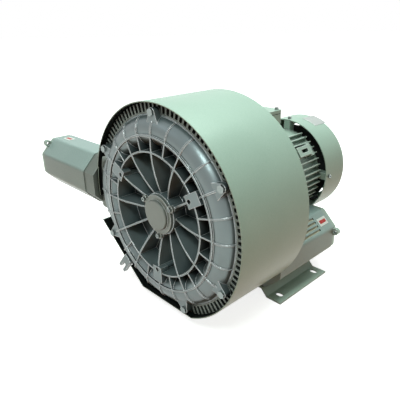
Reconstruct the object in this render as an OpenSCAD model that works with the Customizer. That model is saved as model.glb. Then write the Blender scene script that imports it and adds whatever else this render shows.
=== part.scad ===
// Two-stage side-channel blower with a round sheet shroud, a flange motor and two silencers.
// Millimetres, +Z up. The shaft runs along Y, with the ribbed cover at the -Y end.
// The origin is on the floor, at the middle of the four foot slots.

/* [Stance] */
// Height of the shaft above the floor
shaft_height = 250; // [245:1:280]
// Length of each foot
foot_len = 201; // [190:1:240]
// Width of a foot's base flange
foot_base = 42; // [38:1:60]
// Thickness of the foot plate
foot_t = 4; // [3:0.5:6]
// Distance from the shaft plane to a foot's outer edge
foot_reach = 181; // [175:1:200]
// Height of a foot's upper flange above the floor
foot_rise = 22; // [18:1:24]
// Distance between the two slots of a foot
slot_pitch = 150; // [120:1:160]
// Width of a foot slot
slot_w = 14; // [9:0.5:16]
// Length of a foot slot, end to end
slot_len = 20; // [18:1:24]

/* [Shroud] */
// Outer radius of the shroud
shroud_r = 240; // [236:1:260]
// Thickness of the shroud sheet
shroud_t = 2; // [1.5:0.5:3]
// How far the shroud reaches back past the rear casing
shroud_overhang = 25; // [18:1:40]
// Width of the tongue that crosses in front of the intake duct
tongue_w = 11; // [8:1:11]

/* [Side channels] */
// Radius of the centre line of the side channels
channel_r = 181; // [176:1:184]
// Radius of the channel's round section
channel_w = 27; // [24:0.5:28]
// Wall of the castings round a channel
cast_wall = 5.5; // [4:0.5:6]
// Thickness of the plate between the two stages
mid_wall = 6; // [4:0.5:8]
// Thickness of the rim outside the channels
rim_wall = 9.2; // [8:0.2:9.8]

/* [Impellers] */
// Width of an impeller at its blades
impeller_w = 32; // [28:0.5:36]
// Axial gap at each face of an impeller
impeller_gap = 0.5; // [0.4:0.1:1]
// Number of blades of an impeller
blades = 48; // [36:1:54]
// Thickness of a blade
blade_t = 3; // [2:0.5:4]
// Thickness of an impeller's disc
disc_t = 8; // [6:0.5:10]
// Radius of an impeller's hub
hub_r = 34; // [31:0.5:36]
// Length of an impeller's hub
hub_len = 24; // [20:1:26]

/* [Cover ribs] */
// Number of radial ribs on the cover
rib_count = 24; // [24:12:36]
// Thickness of a radial rib
rib_t = 3; // [2:0.5:4]
// Height of the ribs above the cover's skin
rib_h = 2.5; // [2:0.5:4]
// Number of spokes inside the inner ring
spoke_count = 12; // [6:6:12]
// Thickness of a spoke
spoke_t = 4; // [3:0.5:6]
// Radius of the inner ring
ring_r = 141; // [138:1:144]
// Wall of the inner ring
ring_t = 3.5; // [3:0.5:5]
// How deep the cover's floor lies behind the inner ring's edge
floor_depth = 49; // [40:1:50]

/* [Fin comb] */
// Number of cooling fins round the casings
fin_count = 108; // [72:4:120]
// Thickness of a casing fin
fin_t = 4.5; // [3:0.5:6]
// Gap between the fins and the shroud
fin_gap = 1.5; // [1:0.5:3]

/* [Intake side] */
// Height of the intake duct's centre above the shaft
duct_z = 5; // [0:1:10]
// Depth of the intake duct along the shaft
duct_w = 86; // [80:1:90]
// Height of the intake duct
duct_h = 140; // [130:1:144]
// Distance from the shaft plane to the duct's open end
duct_reach = 290; // [280:1:300]
// Wall of the ducts
duct_t = 6; // [5:0.5:8]

/* [Silencers] */
// Length of a silencer body
silencer_len = 226; // [180:1:226]
// Width of an eight-sided silencer across its flats
silencer_w = 136; // [130:1:137]
// Radius of a silencer's round corners
corner_r = 12; // [6:1:20]
// Wall of a silencer body
silencer_t = 3; // [2:0.5:4]
// Outlet silencer's centre, sideways from the shaft
outlet_x = 108; // [107:0.5:114]
// Outlet silencer's centre, below the shaft
outlet_drop = 154; // [154:0.5:157]
// Thread bore radius of the pipe flanges
pipe_r = 36.1; // [30:0.1:37]
// Thickness of the end flanges
flange_t = 12; // [10:1:14]
// Length of the threaded boss past the end flange
boss_len = 16; // [10:1:20]

/* [Motor] */
// Length of the motor housing
housing_len = 236; // [228:1:244]
// Radius of the housing wall
housing_r = 105; // [104:0.5:107]
// Radius over the housing fins
motor_fin_r = 117; // [114:0.5:118]
// Number of housing fins
motor_fins = 45; // [36:1:60]
// Thickness of a housing fin
motor_fin_t = 3; // [2:0.5:5]
// Length of the rotor and stator cores
core_len = 140; // [120:1:150]
// Radius of the rotor core
rotor_r = 65; // [60:0.5:66]
// Outer radius of the fan cowl
cowl_r = 133; // [131:0.5:136]
// Length of the fan cowl
cowl_len = 99.5; // [96:0.5:120]
// Number of fan blades
fan_blades = 7; // [5:1:9]

/* [Shaft] */
// Shaft radius at the impellers
shaft_r = 19; // [17:0.5:19.5]
// Shaft radius at the front bearing
nose_r = 15; // [12:0.5:16]
// Shaft radius in the rotor core
core_r = 24; // [22:0.5:26]
// Shaft radius at the motor bearings
journal_r = 20; // [19.5:0.5:21]
// Shaft radius at the fan
tail_r = 17; // [15:0.5:18]

/* [Terminal box] */
// Half of the box's width
box_half = 56; // [50:1:60]
// Length of the box along the shaft
box_len = 112; // [100:1:120]
// Height of the box's lid above the shaft
box_top = 181; // [178:1:186]

/* [Fits] */
// Radial clearance of a fit between turned faces
fit = 0.02; // [0.01:0.01:0.1]
// Clearance between curved castings and between running parts
clear = 0.3; // [0.2:0.05:0.5]
// Radius of the casing and foot bolts
bolt_m = 5; // [4:0.5:6]
// Radius of the smaller cap screws
screw_m = 3; // [2.5:0.5:4]
// Bore radius of the threaded holes in the cover's pads
pad_core = 5.1; // [4.2:0.1:5.2]

/* [Hidden] */
$fn = 96;
paint = "#a9b9b0";
alloy = "#b9c2c8";
steel = "#8e9499";
dark = "#2b2f2f";
big = 900;

// Planes along the shaft, counted back from the shroud's front edge
skin_y = -6.5;
joint_1 = skin_y + cast_wall + channel_w;
stage_gap = impeller_w + 2 * impeller_gap;
back_1 = joint_1 + stage_gap;
joint_2 = back_1 + 2 * channel_w + mid_wall;
back_2 = joint_2 + stage_gap;
case_back = back_2 + channel_w + cast_wall;
motor_face = case_back + 15;
shroud_len = case_back + shroud_overhang;
foot_front = shroud_len + 2;
slot_front = (foot_len - slot_pitch) / 2 + 4;
pattern_y = foot_front + slot_front + slot_pitch / 2;

// Radii of the castings
dome_r = channel_w + cast_wall;
case_r = channel_r + channel_w + rim_wall;
register_r = channel_r + dome_r + 0.5 + clear;
cover_r = channel_r + dome_r + 0.5;
flat_r = case_r + 0.8 + shroud_t;
flat_tilt = 230;
seat_y = joint_1 - 12;
rib_top_y = skin_y - rib_h;
floor_y = rib_top_y + floor_depth;
floor_t = 5;
blade_r0 = channel_r - channel_w;
impeller_r = channel_r + channel_w - 0.5;
cavity_r = impeller_r + 1.5;
web_y = floor_y + floor_t + 1.5;

// Frames of reference
module on_shaft() translate([0, -pattern_y, shaft_height]) children();
module turned() rotate([-90, 0, 0]) rotate_extrude() children();
module slab(y0, y1) translate([0, y1, 0]) rotate([90, 0, 0]) linear_extrude(y1 - y0) children();
module rod(r, y0, y1) translate([0, y0, 0]) rotate([-90, 0, 0]) cylinder(r = r, h = y1 - y0);
module ring(r0, r1, y0, y1) turned() translate([r0, y0]) square([r1 - r0, y1 - y0]);
module at_angle(a, r = 0) rotate([0, -a, 0]) translate([r, 0, 0]) children();
module around(angles, r = 0) for (a = angles) at_angle(a, r) children();

function polar(r, a) = [r * cos(a), r * sin(a)];

// Outline of a ring of radial fins, as one closed polygon; no fin stands between angles a0 and a1
function comb(count, r_root, r_tip, t, a0 = 0, a1 = 0) = [
    for (i = [0 : count - 1])
        let (a = i * 360 / count, d0 = asin(t / 2 / r_root), d1 = asin(t / 2 / r_tip))
        each a > a0 && a < a1 ? [polar(r_root, a)]
            : [polar(r_root, a - d0), polar(r_tip, a - d1), polar(r_tip, a + d1), polar(r_root, a + d0)]
];

// A rectangle with round corners, centred
module round_rect(w, h, r) {
    square([w - 2 * r, h], center = true);
    square([w, h - 2 * r], center = true);
    for (x = [-1, 1], y = [-1, 1])
        translate([x * (w / 2 - r), y * (h / 2 - r)]) circle(r);
}

// A cap screw along -Y, its head's seat at y = 0, its shank reaching back
module cap_screw(r, len) {
    difference() {
        rod(r * 1.6, -r * 1.7, 0);
        translate([0, -r * 0.8, 0]) rotate([90, 0, 0]) cylinder(r = r * 0.9, h = r * 2, $fn = 6);
    }
    rod(r, 0, len);
}

// A hexagon-head bolt along -Y with a washer
module hex_bolt(r, len) {
    rod(r * 2.1, -r * 0.35, 0);
    translate([0, -r * 0.35, 0]) rotate([90, 0, 0]) cylinder(r = r * 1.9, h = r * 1.2, $fn = 6);
    rod(r, 0, len);
}

// A hexagon-head screw along -Y without a washer
module hex_screw(r, len) {
    rotate([90, 0, 0]) cylinder(r = r * 1.7, h = r * 0.9, $fn = 6);
    rod(r, 0, len);
}

// Shroud: a sheet ring with a flat below and a flat towards the lower left, open at the intake duct
bolt_angles = [30, 90, 150, 210, 290, 330];
rear_angles = [0, 60, 120, 180, 205, 330];
bolt_r = case_r + 3;
rear_bolt_r = case_r + 7;
duct_y = seat_y + duct_w / 2;
duct_low = duct_z - duct_h / 2;
duct_high = duct_z + duct_h / 2;
tongue_z = -21;
sill_z = duct_low - 23;
lug_angle = 231;

module below_flats(inset) {
    intersection_for (a = [270, flat_tilt])
        rotate([0, 0, a]) translate([inset - big, -big / 2]) square([flat_r - 2 * inset + big, big]);
}

module shroud_region(inset) {
    intersection() {
        union() {
            circle(r = shroud_r - inset, $fn = 180);
            translate([-big / 2, -big / 4]) square([big / 2 - 100, big / 4 + sill_z + inset * 4]);
        }
        below_flats(inset);
    }
}

module shroud() color(paint) on_shaft() difference() {
    slab(0, shroud_len) difference() {
        shroud_region(0);
        shroud_region(shroud_t);
    }
    translate([-big, tongue_w, sill_z]) cube([big - 190, duct_w + 20, duct_high + 6 - sill_z]);
    translate([-big, -1, sill_z]) cube([big - 190, tongue_w + 2, tongue_z - sill_z]);
    translate([-big, -1, sill_z]) cube([big - 190, 3, 56 - sill_z]);
    at_angle(lug_angle, flat_r) translate([-15, -1, -15]) cube([30, 8, 30]);
    for (s = [-1, 1])
        translate([s * bracket_x - bracket_w / 2 - 2, motor_face - 8, -flat_r - 10])
            cube([bracket_w + 4, big, 40]);
    for (p = shroud_screw_places)
        translate([p[0], p[1], -flat_r - 5]) cylinder(r = screw_m * 1.1, h = 10);
}

shroud_screw_xs = [-60, 60];
shroud_screw_ys = [seat_y + 40, joint_2 + 22];
shroud_screw_places = [for (x = shroud_screw_xs, y = shroud_screw_ys) [x, y]];

module shroud_screws() color(steel) on_shaft()
    for (p = shroud_screw_places)
        translate([p[0], p[1], -flat_r]) rotate([90, 0, 0]) cap_screw(screw_m, 12);

// Block on the case's rim that a shroud screw bites into, and its hole
module screw_block(x, y) translate([x - 8, y - 8, -flat_r + shroud_t])
    cube([16, 16, flat_r - shroud_t - case_r + 11.7]);
module screw_hole(x, y) translate([x, y, -flat_r]) cylinder(r = screw_m + fit, h = 14);

// Front cover: torus of the first channel with ribs, inner ring, deep floor, spokes and hub
boss_r = 47;
boss_y = 5;
bearing_front = 8;
nose_w = 19;
nose_bearing_r = 36;
shoulder_r = 33;
cap_angles = [30, 150, 270];
pad_r0 = 124;
pad_r1 = 163;
pad_w = 28;
pad_y = -12;
pad_hole_r = 132;
lobe_r = 127;
lobe_x = -100;
lobe_y = 2.5;

module cover_section() {
    intersection() {
        translate([channel_r, joint_1]) circle(r = dome_r);
        translate([0, joint_1 - big]) square([big, big]);
    }
    translate([ring_r - ring_t, floor_y]) mirror([0, 1]) square([ring_t, floor_depth]);
    translate([ring_r - 1, joint_1 - 7]) square([blade_r0 + 2 - ring_r, 7]);
    translate([channel_r - 10, rib_top_y - 1]) square([rib_t + 0.6, 8]);
    translate([channel_r, seat_y + 0.5]) square([cover_r - channel_r, joint_1 - seat_y - 0.5]);
    translate([shoulder_r, floor_y]) square([ring_r - shoulder_r, floor_t]);
    translate([nose_bearing_r + fit, boss_y]) square([boss_r - nose_bearing_r - fit, floor_y - boss_y]);
    translate([shoulder_r, bearing_front + nose_w])
        square([boss_r - shoulder_r, floor_y - bearing_front - nose_w]);
}

// One radial rib: proud of the dome, and a straight web between the two rings
module rib_outline() {
    intersection() {
        translate([channel_r, joint_1]) circle(r = dome_r + rib_h);
        translate([channel_r - 8, rib_top_y - 1])
            square([cover_r - channel_r + 6, seat_y + 0.5 - rib_top_y]);
    }
    translate([ring_r - 1.5, rib_top_y + 0.4])
        square([channel_r - 6 - ring_r, joint_1 - 7 - rib_top_y]);
}

// One spoke: its front edge sags from the inner ring to the hub
spoke_in = boss_r - 2;
spoke_out = ring_r - ring_t + 1;
spoke_sag = 20;
function spoke_edge(u) = rib_top_y + 0.6 + spoke_sag * pow(1 - u, 1.7);
module spoke_outline() polygon(concat(
    [for (i = [0 : 8]) let (u = i / 8) [spoke_in + u * (spoke_out - spoke_in), spoke_edge(u)]],
    [[spoke_out, floor_y + 1], [spoke_in, floor_y + 1]]));

// A profile drawn as [radius, depth] made into a plate that stands on the radius at an angle
module web_plate(a, t) at_angle(a) translate([0, 0, -t / 2]) linear_extrude(t) children();

module bolt_ear() {
    slab(-1, seat_y) {
        translate([bolt_r, 0]) circle(r = 9);
        polygon([[channel_r + 12, -19], [bolt_r + 3, -8.4], [bolt_r + 3, 8.4], [channel_r + 12, 19]]);
    }
}

module port_lobe() {
    fillet = 7;
    difference() {
        translate([lobe_x, 0, 0]) turned() {
            translate([0, lobe_y]) square([lobe_r - fillet, seat_y - lobe_y]);
            translate([0, lobe_y + fillet]) square([lobe_r, seat_y - lobe_y - fillet]);
            translate([lobe_r - fillet, lobe_y + fillet]) circle(r = fillet);
        }
        rod(channel_r + 25, -big / 2, big / 2);
        translate([-big, seat_y, -big / 2]) cube([big * 2, big, big]);
    }
}

module lobe_ribs() {
    for (a = [165, 180, 195]) {
        reach = a == 180 ? lobe_r - lobe_x - 1 : lobe_r - lobe_x - 7;
        web_plate(a, rib_t) {
            translate([channel_r + 22, lobe_y - rib_h]) square([reach - channel_r - 28, seat_y - lobe_y]);
            translate([channel_r + 22, lobe_y - rib_h + 6])
                square([reach - channel_r - 22, seat_y - lobe_y - 4]);
            translate([reach - 6, lobe_y - rib_h + 6]) circle(r = 6);
        }
    }
}

module front_cover() color(alloy) on_shaft() difference() {
    union() {
        turned() cover_section();
        for (i = [0 : rib_count - 1]) web_plate(i * 360 / rib_count, rib_t) rib_outline();
        for (i = [0 : spoke_count - 1]) web_plate(i * 360 / spoke_count, spoke_t) spoke_outline();
        around(cap_angles, pad_r0) {
            translate([0, pad_y, -pad_w / 2]) cube([pad_r1 - pad_r0, 20, pad_w]);
            translate([pad_hole_r - pad_r0, 0, 0]) rod(8, pad_y + 1, floor_y + 1);
        }
        around(cap_angles, 50) rod(8, boss_y, 30);
        around(bolt_angles) bolt_ear();
        port_lobe();
        lobe_ribs();
        slab(-5, 5) rotate([0, 0, lug_angle]) difference() {
            translate([channel_r + 22, -13]) square([52, 26]);
            translate([channel_r + 53, -5.5]) square([30, 11]);
            translate([channel_r + 53, 0]) circle(r = 5.5);
        }
    }
    turned() translate([channel_r, joint_1]) circle(r = channel_w);
    around(bolt_angles, bolt_r) rod(bolt_m * 1.1, -5, seat_y + 1);
    around(cap_angles, pad_hole_r) rod(pad_core, pad_y - 1, 14);
    around(cap_angles, 50) rod(screw_m + fit, boss_y - 1, 24);
}

module cover_bolts() color(steel) on_shaft()
    around(bolt_angles, bolt_r) translate([0, -1, 0]) hex_screw(bolt_m, seat_y + 1 + 22);

// Bearing cap with three screw ears
module bearing_cap() color(alloy) on_shaft() difference() {
    union() {
        turned() {
            translate([0, -1]) square([44, 6]);
            translate([0, -8]) square([31, 8]);
            translate([0, -5]) square([34, 5]);
            translate([31, -5]) circle(r = 3);
            translate([0, 4]) square([nose_bearing_r - clear, bearing_front - 4]);
        }
        around(cap_angles, 50) rod(8, -1, boss_y);
    }
    rod(30, -4, bearing_front + 1);
    around(cap_angles, 50) rod(screw_m * 1.1, -3, boss_y + 1);
}

module bearing_cap_screws() color(steel) on_shaft()
    around(cap_angles, 50) translate([0, -1, 0]) cap_screw(screw_m, 22);

// Casing fins, kept clear of the shroud and left out at the intake duct
module fin_region(root) {
    difference() {
        intersection() {
            polygon(comb(fin_count, root, shroud_r - shroud_t - fin_gap, fin_t, 155, 206));
            below_flats(shroud_t + fin_gap);
        }
        circle(r = root - 1.7);
    }
}

module boss_region(angles, r) for (a = angles) rotate([0, 0, a]) {
    translate([r, 0]) circle(r = 9);
    translate([case_r - 3, -9]) square([r - case_r + 3, 18]);
}

// Stage casing: second half of stage one, plate between the stages, first half of stage two
module stage_section() {
    difference() {
        union() {
            translate([cavity_r, seat_y]) square([case_r - cavity_r, joint_2 - seat_y]);
            intersection() {
                translate([channel_r, back_1]) circle(r = dome_r);
                translate([0, back_1]) square([big, big]);
            }
            intersection() {
                translate([channel_r, joint_2]) circle(r = dome_r);
                translate([0, joint_2 - big]) square([big, big]);
            }
            translate([ring_r, back_1]) square([blade_r0 - ring_r + 1, joint_2 - back_1]);
            translate([shoulder_r - 5, (back_1 + joint_2) / 2 - 4]) square([channel_r - 60, 8]);
            translate([shoulder_r - 5, (back_1 + joint_2) / 2 - 12]) square([14, 24]);
        }
        translate([channel_r, back_1]) circle(r = channel_w);
        translate([channel_r, joint_2]) circle(r = channel_w);
    }
}

module duct_hull(w, h, x0, x1) translate([x0, duct_y, duct_z])
    rotate([90, 0, 90]) linear_extrude(x1 - x0) round_rect(w, h, 12);

// Eight-sided collar at the duct's end, which carries the silencer on in line
collar_x = shroud_r + 6;
collar_bore = silencer_w / 2 - 14;
module collar() translate([-duct_reach, duct_y, duct_z])
    rotate([90, 0, 90]) linear_extrude(duct_reach - collar_x) rotate([0, 0, 22.5])
        circle(r = (silencer_w / 2 - 2) / cos(22.5), $fn = 8);

module stage_casing() color(alloy) on_shaft() difference() {
    union() {
        turned() stage_section();
        slab(seat_y, joint_2) fin_region(case_r - 1);
        slab(seat_y, seat_y + 32) boss_region(bolt_angles, bolt_r);
        slab(joint_2 - 26, joint_2) boss_region(rear_angles, rear_bolt_r);
        for (x = shroud_screw_xs) screw_block(x, shroud_screw_ys[0]);
        difference() {
            duct_hull(duct_w, duct_h, -collar_x - 6, -150);
            rod(case_r - 1, -big / 2, big / 2);
        }
        collar();
    }
    rod(register_r, seat_y - 1, joint_1);
    translate([-duct_reach - 1, duct_y, duct_z]) rotate([0, 90, 0])
        cylinder(r = collar_bore, h = duct_reach + 1 - collar_x - 10);
    duct_hull(duct_w - 2 * duct_t, duct_h - 2 * duct_t - 28, -collar_x - 12, -collar_x + 3);
    duct_hull(duct_w - 2 * duct_t, duct_h - 2 * duct_t, -collar_x, -channel_r - 45);
    duct_hull(duct_w - 2 * duct_t - 8, duct_h - 2 * duct_t - 30, -channel_r - 50, -channel_r - 15);
    around(bolt_angles, bolt_r) rod(bolt_m + fit, seat_y - 1, seat_y + 26);
    around(rear_angles, rear_bolt_r) rod(bolt_m + fit, joint_2 - 20, joint_2 + 1);
    for (x = shroud_screw_xs) screw_hole(x, shroud_screw_ys[0]);
}

module casing_bolts() color(steel) on_shaft()
    around(rear_angles, rear_bolt_r)
        translate([0, joint_2 + 24, 0]) mirror([0, 1, 0]) hex_bolt(bolt_m, 24 + 16);

// Rear casing: second half of stage two, back wall, motor register and outlet neck
neck_bore = pipe_r + 0.5;
neck_r = neck_bore + 5;
seal_r = 27;

module rear_section() {
    translate([cavity_r, joint_2]) square([case_r - cavity_r, back_2 + 6 - joint_2]);
    intersection() {
        translate([channel_r, back_2]) circle(r = dome_r);
        translate([0, back_2]) square([big, big]);
    }
    translate([ring_r, back_2]) square([blade_r0 - ring_r + 1, 22]);
    translate([seal_r + 8 + fit, back_2 + 14]) square([ring_r - seal_r - 4, 8]);
    translate([seal_r + 8 + fit, back_2 + 14]) square([12, 26]);
    translate([flange_r - 16.5, back_2 + 14]) square([17, motor_face - back_2 - 14]);
}

module rear_fins() intersection() {
    slab(joint_2, case_back) fin_region(case_r - 3);
    turned() translate([0, joint_2]) polygon([[cavity_r + 1, 0], [big, 0], [big, big], [case_r - 14, big],
        [case_r - 9, back_2 + 14 - joint_2], [cavity_r + 1, back_2 + 4 - joint_2]]);
}

module rear_casing() color(alloy) on_shaft() difference() {
    union() {
        turned() rear_section();
        rear_fins();
        slab(joint_2, joint_2 + 25.5) boss_region(rear_angles, rear_bolt_r);
        for (x = shroud_screw_xs) screw_block(x, shroud_screw_ys[1]);
        for (i = [0 : 5]) web_plate(i * 60, 5)
            translate([flange_r - 4.5, back_2 + 16])
                square([blade_r0 + 4.5 - flange_r, motor_face - back_2 - 20]);
        translate([outlet_x, 0, -outlet_drop]) rod(neck_r, back_2 + 12, foot_front + 1);
        for (s = [-1, 1]) translate([s * bracket_x - bracket_w / 2, back_2 + 20, -bracket_root_z - 30])
            cube([bracket_w, motor_face - back_2 - 26, 60]);
    }
    turned() translate([channel_r, back_2]) circle(r = channel_w);
    translate([outlet_x, 0, -outlet_drop]) rod(neck_bore, back_2 + 5, big / 2);
    around(rear_angles, rear_bolt_r) {
        rod(bolt_m * 1.1, joint_2 - 1, joint_2 + 30);
        rod(12.5, joint_2 + 24, big / 2);
    }
    around(motor_bolt_angles, motor_bolt_r) rod(bolt_m + fit, motor_face - 15, motor_face + 1);
    for (s = [-1, 1], dx = [-14, 14]) translate([s * bracket_x + dx, 0, -bracket_root_z])
        rod(bolt_m + fit, motor_face - 22, motor_face);
    for (x = shroud_screw_xs) screw_hole(x, shroud_screw_ys[1]);
}

module motor_bolts() color(steel) on_shaft() around(motor_bolt_angles, motor_bolt_r)
    translate([0, motor_face + flange_w, 0]) mirror([0, 1, 0]) hex_bolt(bolt_m, flange_w + 12);

module shaft_seal() color(dark) on_shaft() difference() {
    rod(seal_r + 8, back_2 + 16, back_2 + 30);
    rod(shaft_r + clear, back_2, back_2 + 60);
    turned() translate([shaft_r + 4, back_2 + 22]) square([8, 20]);
}

// Impellers: hub, dished disc, rim band and radial blades on both faces of a web
impeller_1_y = joint_1 + impeller_gap;
impeller_2_y = joint_2 + impeller_gap;
key_w = 10;
key_h = 8;

module impeller(y) {
    disc_y = y + web_y - impeller_1_y;
    difference() {
        union() {
            ring(shaft_r + fit, hub_r, disc_y - 0.5, disc_y - 0.5 + hub_len);
            ring(hub_r - 1, ring_r + 2, disc_y, disc_y + disc_t);
            ring(ring_r + 1, blade_r0 + 1, y, y + impeller_w);
            ring(blade_r0, impeller_r - 1, y + impeller_w / 2 - 3, y + impeller_w / 2 + 3);
            slab(y, y + impeller_w) difference() {
                polygon(comb(blades, blade_r0, impeller_r, blade_t));
                circle(r = blade_r0 - 2);
            }
        }
        translate([-key_w / 2, disc_y - 5, 0]) cube([key_w, hub_len + 10, shaft_r + key_h / 2 - 0.5]);
    }
}

module impeller_1() color(alloy) on_shaft() impeller(impeller_1_y);
module impeller_2() color(alloy) on_shaft() impeller(impeller_2_y);

hub_1 = web_y - 0.5;
hub_2 = hub_1 + impeller_2_y - impeller_1_y;

module impeller_spacer() color(steel) on_shaft()
    ring(shaft_r + fit, seal_r - clear, hub_1 + hub_len, hub_2);

module impeller_keys() color(steel) on_shaft() for (y = [hub_1, hub_2])
    translate([-key_w / 2 + fit, y + 2, shaft_r - key_h / 2 + fit])
        cube([key_w - 2 * fit, hub_len - 4, key_h - 1 - 2 * fit]);

module impeller_nut() color(steel) on_shaft() difference() {
    translate([0, hub_1, 0]) rotate([90, 0, 0]) cylinder(r = 30, h = 12, $fn = 8);
    rod(shaft_r + fit, hub_1 - 20, hub_1 + 1);
}

// Shaft, stepped, with two keyways
front_journal = bearing_front + nose_w;
drive_w = 23;
drive_bearing_r = 45;
drive_y = motor_face + 6;
rear_w = 18;
rear_bearing_r = 40;
housing_y = motor_face + 17;
housing_end = housing_y + housing_len;
rear_y = housing_end - 4;
cowl_end = housing_end + cowl_len;
fan_y = rear_y + rear_w + 20;
fan_w = 44;

module shaft() color(steel) on_shaft() difference() {
    union() {
        rod(nose_r, bearing_front - 4, front_journal + 1);
        rod(shaft_r, front_journal, drive_y);
        rod(journal_r, drive_y - 1, drive_y + drive_w + 1);
        rod(core_r, drive_y + drive_w, rear_y);
        rod(journal_r, rear_y - 1, rear_y + rear_w + 1);
        rod(tail_r, rear_y + rear_w, fan_y + fan_w + 2);
    }
    for (y = [hub_1, hub_2])
        translate([-key_w / 2, y + 2, shaft_r - key_h / 2]) cube([key_w, hub_len - 4, key_h]);
}

// Deep-groove bearings, each a ring in its seat, a ring on the shaft, and caged balls
function ball_r(ri, ro) = (ro - ri) * 0.29;
function pitch_r(ri, ro) = (ro + ri) / 2;
function balls(ri, ro) = floor(180 / asin(ball_r(ri, ro) / pitch_r(ri, ro)) * 0.75);

module bearing_outer(ri, ro, y, w) turned() difference() {
    translate([pitch_r(ri, ro) + 0.2 * (ro - ri), y]) square([0.3 * (ro - ri), w]);
    translate([pitch_r(ri, ro), y + w / 2]) circle(r = ball_r(ri, ro) + clear);
}

module bearing_inner(ri, ro, y, w) turned() difference() {
    translate([ri + fit, y]) square([0.3 * (ro - ri) - fit, w]);
    translate([pitch_r(ri, ro), y + w / 2]) circle(r = ball_r(ri, ro) + clear);
}

module bearing_balls(ri, ro, y, w) {
    count = balls(ri, ro);
    for (i = [0 : count - 1]) at_angle((i + 0.5) * 360 / count, pitch_r(ri, ro))
        translate([0, y + w / 2, 0]) sphere(r = ball_r(ri, ro), $fn = 48);
    half = ball_r(ri, ro) * 0.7;
    ring(pitch_r(ri, ro) - 1.5, pitch_r(ri, ro) + 1.5, y + w / 2 - half, y + w / 2 + half);
}

module front_bearing_outer() color(steel) on_shaft()
    bearing_outer(nose_r, nose_bearing_r, bearing_front, nose_w);
module front_bearing_inner() color(steel) on_shaft()
    bearing_inner(nose_r, nose_bearing_r, bearing_front, nose_w);
module front_bearing_balls() color(steel) on_shaft()
    bearing_balls(nose_r, nose_bearing_r, bearing_front, nose_w);
module drive_bearing_outer() color(steel) on_shaft()
    bearing_outer(journal_r, drive_bearing_r, drive_y, drive_w);
module drive_bearing_inner() color(steel) on_shaft()
    bearing_inner(journal_r, drive_bearing_r, drive_y, drive_w);
module drive_bearing_balls() color(steel) on_shaft()
    bearing_balls(journal_r, drive_bearing_r, drive_y, drive_w);
module rear_bearing_outer() color(steel) on_shaft()
    bearing_outer(journal_r, rear_bearing_r, rear_y, rear_w);
module rear_bearing_inner() color(steel) on_shaft()
    bearing_inner(journal_r, rear_bearing_r, rear_y, rear_w);
module rear_bearing_balls() color(steel) on_shaft()
    bearing_balls(journal_r, rear_bearing_r, rear_y, rear_w);

// Motor
motor_bolt_angles = [15 : 90 : 285];
flange_r = housing_r + 19.5;
flange_w = 12;
motor_bolt_r = flange_r - 8;
stator_r = housing_r - 7;
core_y = housing_y + (housing_len - core_len) / 2 - 2;
lug_angles = [38, 142];

module motor_flange() color(alloy) on_shaft() difference() {
    union() {
        rod(flange_r, motor_face, motor_face + flange_w);
        rod(housing_r, motor_face + flange_w - 1, housing_y);
        rod(drive_bearing_r + 8, motor_face - 6, drive_y + drive_w + 2);
        rod(stator_r - clear, housing_y - 1, housing_y + 5);
    }
    rod(drive_bearing_r + fit, drive_y, big / 2);
    rod(shaft_r + 2, motor_face - 10, drive_y + 1);
    difference() {
        rod(stator_r - 6, motor_face + flange_w, housing_y + 6);
        rod(drive_bearing_r + 8, 0, big / 2);
    }
    around(motor_bolt_angles, motor_bolt_r) rod(bolt_m * 1.1, motor_face - 1, motor_face + flange_w + 1);
}

module motor_housing() color(alloy) on_shaft() difference() {
    union() {
        rod(housing_r, housing_y, housing_end);
        slab(housing_y + 6, housing_end) difference() {
            polygon(comb(motor_fins, housing_r - 1, motor_fin_r, motor_fin_t, 65, 115));
            circle(r = housing_r - 2);
        }
        translate([-42, box_y + 10, 0]) cube([84, box_len - 20, neck_top]);
        around(lug_angles, housing_r - 4) {
            translate([0, housing_end - 80, -13]) cube([motor_fin_r - housing_r + 11, 50, 26]);
            translate([0, housing_end - 34, -17]) cube([motor_fin_r - housing_r + 8, 14, 34]);
        }
    }
    rod(stator_r, housing_y - 1, housing_end + 1);
    translate([-26, box_y + 26, 80]) cube([52, box_len - 52, 80]);
    around(lug_angles, housing_r) translate([2, housing_end - 66, -4.5]) cube([40, 26, 9]);
}

module stator_core() color(steel) on_shaft()
    ring(rotor_r + 0.7, stator_r, core_y, core_y + core_len);

winding_len = 26;
module stator_windings() color("#8a4a2a") on_shaft()
    for (y = [core_y - winding_len, core_y + core_len])
        ring(rotor_r + 5, stator_r - 4, y, y + winding_len);

module rotor_core() color(steel) on_shaft() {
    ring(core_r + fit, rotor_r, core_y, core_y + core_len);
    for (y = [core_y - 9, core_y + core_len]) ring(rotor_r - 22, rotor_r - 3, y, y + 9);
}

module motor_rear_shield() color(alloy) on_shaft() difference() {
    union() {
        rod(housing_r, housing_end, housing_end + 8);
        rod(rear_bearing_r + 7, rear_y - 2, rear_y + rear_w + 4);
        rod(stator_r - clear, housing_end - 6, housing_end + 1);
        intersection() {
            around([0 : 90 : 270], housing_r - 6)
                translate([0, housing_end + 1, -9]) cube([cowl_r, 20, 18]);
            rod(cowl_r - cowl_t - clear, housing_end, housing_end + 30);
        }
    }
    rod(rear_bearing_r + fit, rear_y - 10, rear_y + rear_w);
    rod(journal_r + 2, 0, big);
    difference() {
        rod(stator_r - 8, housing_end - 7, housing_end);
        rod(rear_bearing_r + 7, 0, big / 1.1);
    }
    around([0 : 90 : 270], cowl_r - 20) translate([0, housing_end + 12, 0])
        rotate([0, 90, 0]) cylinder(r = screw_m + fit, h = 30);
}

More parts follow.
